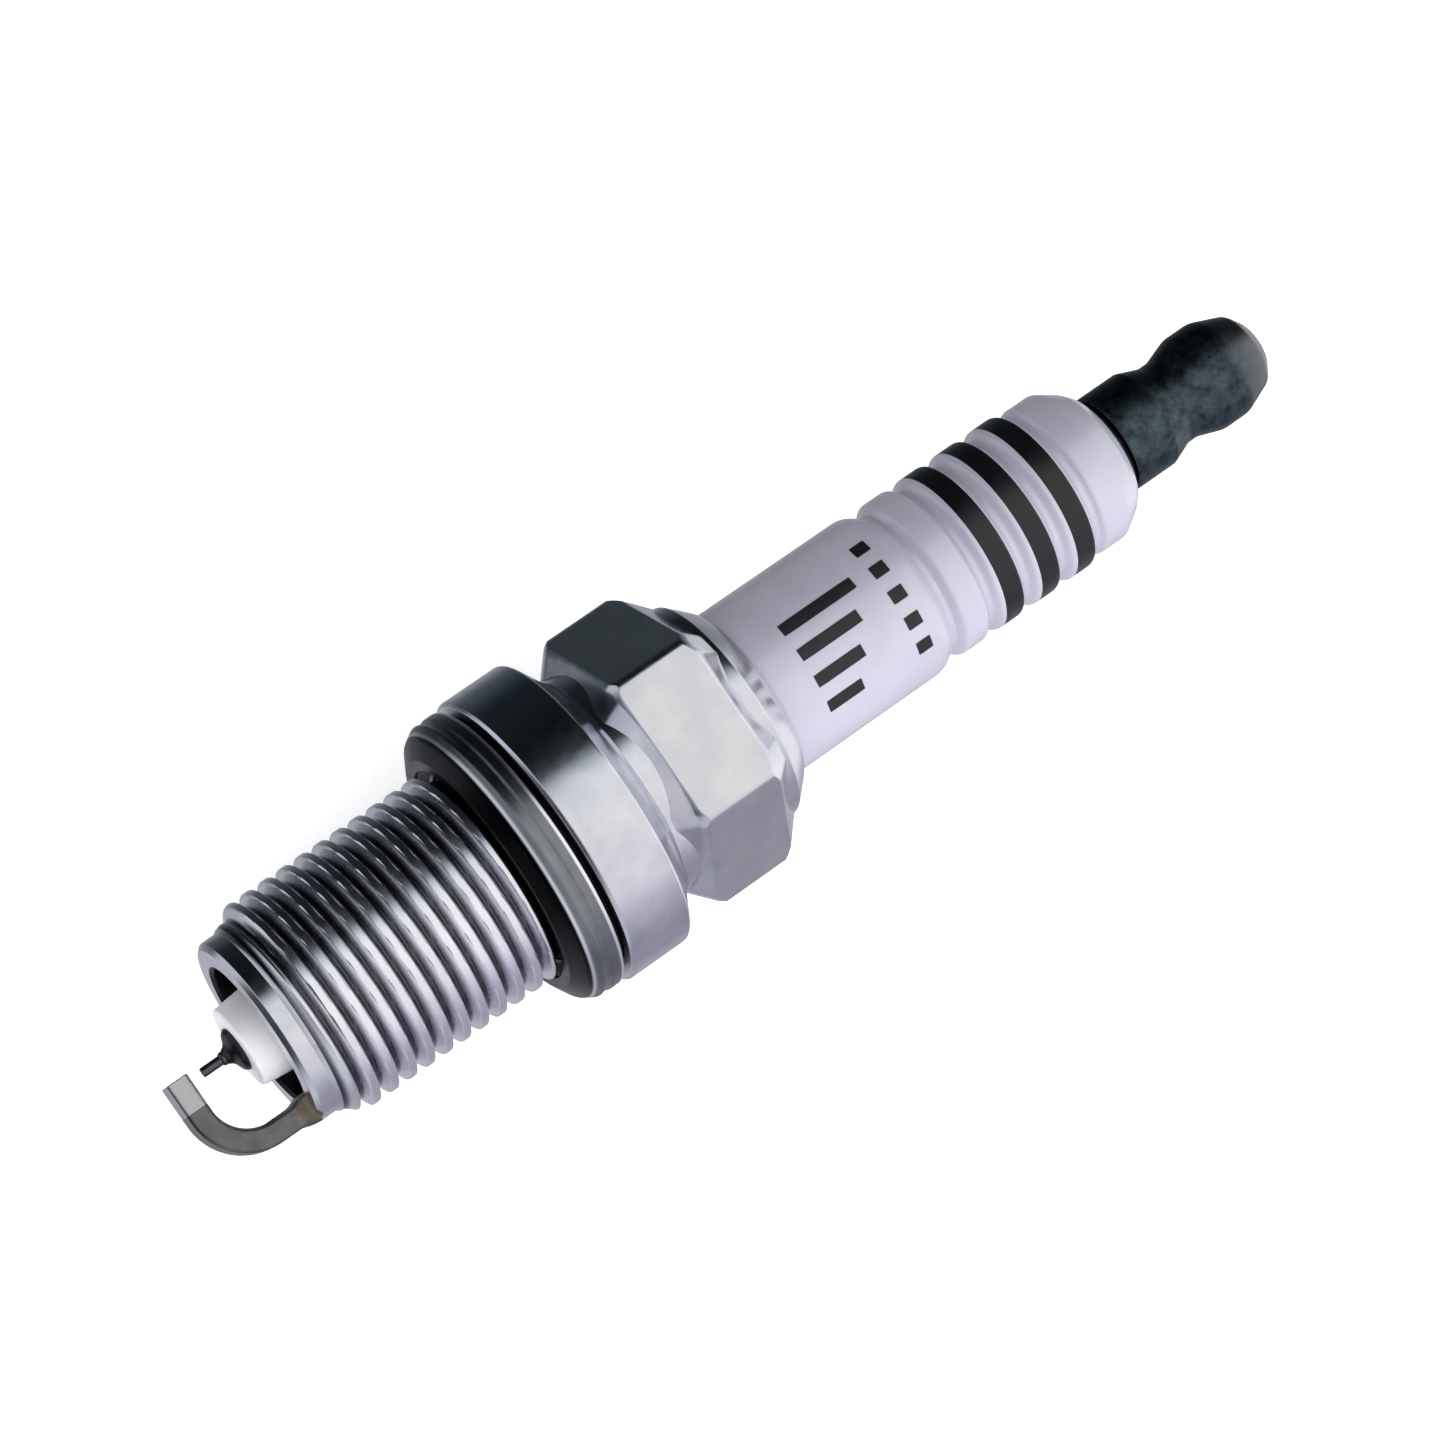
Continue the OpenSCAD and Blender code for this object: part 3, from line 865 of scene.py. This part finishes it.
POST_START = INSULATOR_TOP + 0.5
SEAL_TOP = 19.0
STUD_TIP_R = 1.5
STUD_SHANK_R = 1.8
STUD_BELOW = [
    (STUD_END, 0.0),
    (STUD_END, STUD_TIP_R),
    (SEAL_TOP, STUD_TIP_R),
    (SEAL_TOP, STUD_SHANK_R),
    (INSULATOR_TOP, STUD_SHANK_R),
]
STUD_FLANGE = eased([
    (INSULATOR_TOP, STUD_FLANGE_R, 0.08),
    (POST_START, STUD_FLANGE_R - 0.5, 0.08),
    (POST_START, 1.65),
], steps=4)
STUD_ROWS = rows_between(POST_START + 0.05, STUD_TOP - 0.05, STUD_PITCH / 14)


def stud_outline(angle):
    post = []
    for along in STUD_ROWS:
        post.append((along, thread_radius(along, angle, STUD_THREAD_R, 0.38, STUD_PITCH,
                                          POST_START + 0.05, STUD_TOP + 0.3, STUD_PITCH)))
    return STUD_BELOW + STUD_FLANGE + post + [(STUD_TOP, 1.4), (STUD_TOP, 0.0)]


stud = turned("threaded_stud", stud_outline, "plug", columns=96,
              replaces=("terminal_stud",), slot="dark_steel")
give(stud, STUD_NICKEL)

NUT_COLLAR_END = NUT_START + 3.1
NUT_NECK = (NUT_START + 4.75, TERMINAL_R - 0.55)
NUT_BORE = STUD_THREAD_R + 0.06
NUT_OUTSIDE = eased([
    (NUT_START, TERMINAL_R - 0.12, 0.1),
    (NUT_START + 0.25, TERMINAL_R, 0.12),
    (NUT_COLLAR_END - 0.15, TERMINAL_R, 0.3),
    (NUT_NECK[0] - 0.35, NUT_NECK[1], 1.2),
    (NUT_NECK[0] + 0.45, NUT_NECK[1], 1.2),
    (NUT_START + 6.9, TERMINAL_R + 0.02, 1.6),
    (NUT_TOP - 2.6, TERMINAL_R + 0.02, 1.6),
    (NUT_TOP - 0.7, TERMINAL_R - 0.72, 0.7),
    (NUT_TOP, 1.6, 0.5),
    (NUT_TOP, 0.0),
    (STUD_TOP + 0.9, 0.0),
    (STUD_TOP + 0.3, NUT_BORE - 0.2),
], steps=8)
NUT_ROWS = rows_between(NUT_START + 0.3, STUD_TOP + 0.2, STUD_PITCH / 10)[::-1]


def nut_outline(angle):
    inside = []
    for along in NUT_ROWS:
        inside.append((along, NUT_BORE + 0.28 - thread_radius(
            along, angle, 0.28, 0.28, STUD_PITCH, NUT_START + 0.3, STUD_TOP + 0.2, STUD_PITCH)))
    return NUT_OUTSIDE + inside + [(NUT_START, NUT_BORE + 0.35)]


nut = turned("terminal_cap_nut", nut_outline, "nut", columns=128,
             replaces=("terminal_nut",), slot="dark_steel")
give(nut, TERMINAL_NICKEL)

# ---------------------------------------------------------------- floor, light and camera

FLOOR_Z = cad_low.z
floor_mesh = bpy.data.meshes.new("table_top")
floor_bm = bmesh.new()
bmesh.ops.create_grid(floor_bm, x_segments=4, y_segments=4, size=3.0)
floor_bm.to_mesh(floor_mesh)
floor_bm.free()
table_top = bpy.data.objects.new("table_top", floor_mesh)
table_top.location.z = FLOOR_Z
bpy.context.scene.collection.objects.link(table_top)
give(table_top, pale_floor())
table_top.visible_glossy = False

PLUG_MIDDLE = Vector((16.5, 0, 0)) * MM


def soft_box(name, roll, distance, width, length, brightness, glossy):
    """Rectangular soft light. roll turns it about the plug's axis from overhead towards -Y, in degrees."""
    light = bpy.data.lights.new(name, "AREA")
    light.shape = "RECTANGLE"
    light.size, light.size_y = length * MM, width * MM
    light.energy = brightness * 4 * light.size * light.size_y
    lamp = bpy.data.objects.new(name, light)
    turn = math.radians(roll)
    back = Vector((0, -math.sin(turn), math.cos(turn)))
    side = Vector((1, 0, 0))
    lamp.location = PLUG_MIDDLE + back * distance * MM
    lamp.rotation_mode = "QUATERNION"
    lamp.rotation_quaternion = Matrix((side, back.cross(side), back)).transposed().to_quaternion()
    lamp.visible_glossy = glossy
    bpy.context.scene.collection.objects.link(lamp)


soft_box("overhead_wash", 42, 700, 1200, 1500, 1.2, False)

# What the bright metal mirrors, going round the plug: a grey room below, a pale ceiling and a dark wall
ROOM = [
    (-180, "#B4B4BC"), (-140, "#9796A2"), (-108, "#9A99A6"), (-84, "#C2C0CC"), (-66, "#E4E2E6"),
    (-20, "#EFEDEC"), (18, "#E6E8EA"), (26, "#A4AFB6"), (33, "#161C1F"), (60, "#0A0E10"),
    (110, "#1A2226"), (140, "#4C5559"), (180, "#B4B4BC"),
]
world = bpy.data.worlds.new("studio")
bpy.context.scene.world = world
world.use_nodes = True
sky = world.node_tree
sky.nodes.clear()
direction = add(sky, "ShaderNodeSeparateXYZ", {0: add(sky, "ShaderNodeTexCoord").outputs["Generated"]})
round_plug = add(sky, "ShaderNodeMath", {0: direction.outputs["Y"], 1: direction.outputs["Z"]},
                 operation="ARCTAN2").outputs[0]
turn_share = between(sky, round_plug, -math.pi, math.pi, "LINEAR")
room = add(sky, "ShaderNodeValToRGB", {"Fac": turn_share})
while len(room.color_ramp.elements) < len(ROOM):
    room.color_ramp.elements.new(0.5)
for element, (turned_by, tint) in zip(room.color_ramp.elements, ROOM):
    element.position = (turned_by + 180) / 360
    element.color = srgb(tint)
firing_side = between(sky, direction.outputs["X"], -0.42, -0.62)
far_end = between(sky, direction.outputs["X"], -0.78, -0.93)
beyond = blend_colours(sky, far_end, srgb("#C6C8D0"), srgb("#3E4247"))
walls = blend_colours(sky, firing_side, room.outputs[0], beyond)
far_side = between(sky, direction.outputs["X"], 0.5, 0.75)
below_wall = between(sky, direction.outputs["Y"], 0.38, 0.14)
terminal_side = add(sky, "ShaderNodeMath", {0: far_side, 1: below_wall}, operation="MULTIPLY")
walls = blend_colours(sky, terminal_side.outputs[0], walls, srgb("#F8F8FA"))
seen = blend_colours(sky, add(sky, "ShaderNodeLightPath").outputs["Is Camera Ray"], walls, srgb("#FFFFFF"))
add(sky, "ShaderNodeOutputWorld", {"Surface": add(sky, "ShaderNodeBackground", {
    "Color": seen, "Strength": 1.15}).outputs[0]})

camera_data = bpy.data.cameras.new("camera")
camera = bpy.data.objects.new("camera", camera_data)
bpy.context.scene.collection.objects.link(camera)
bpy.context.scene.camera = camera
camera_data.sensor_width = 36
camera_data.lens = 124.5675
camera_data.clip_start = 0.01
camera_data.clip_end = 20
TILT = math.radians(15.5)
ROLL = math.radians(34.8)
CAMERA_DISTANCE = 288 * MM
AIM = Vector((16.51, -0.5, 0)) * MM
look_back = Vector((-math.sin(TILT), 0, math.cos(TILT)))
level_right = Vector((math.cos(TILT), 0, math.sin(TILT)))
level_up = Vector((0, 1, 0))
cam_right = level_right * math.cos(ROLL) - level_up * math.sin(ROLL)
cam_up = level_right * math.sin(ROLL) + level_up * math.cos(ROLL)
camera.rotation_mode = "QUATERNION"
camera.rotation_quaternion = Matrix((cam_right, cam_up, look_back)).transposed().to_quaternion()
camera.location = AIM + look_back * CAMERA_DISTANCE

bpy.context.scene.view_settings.view_transform = "Standard"
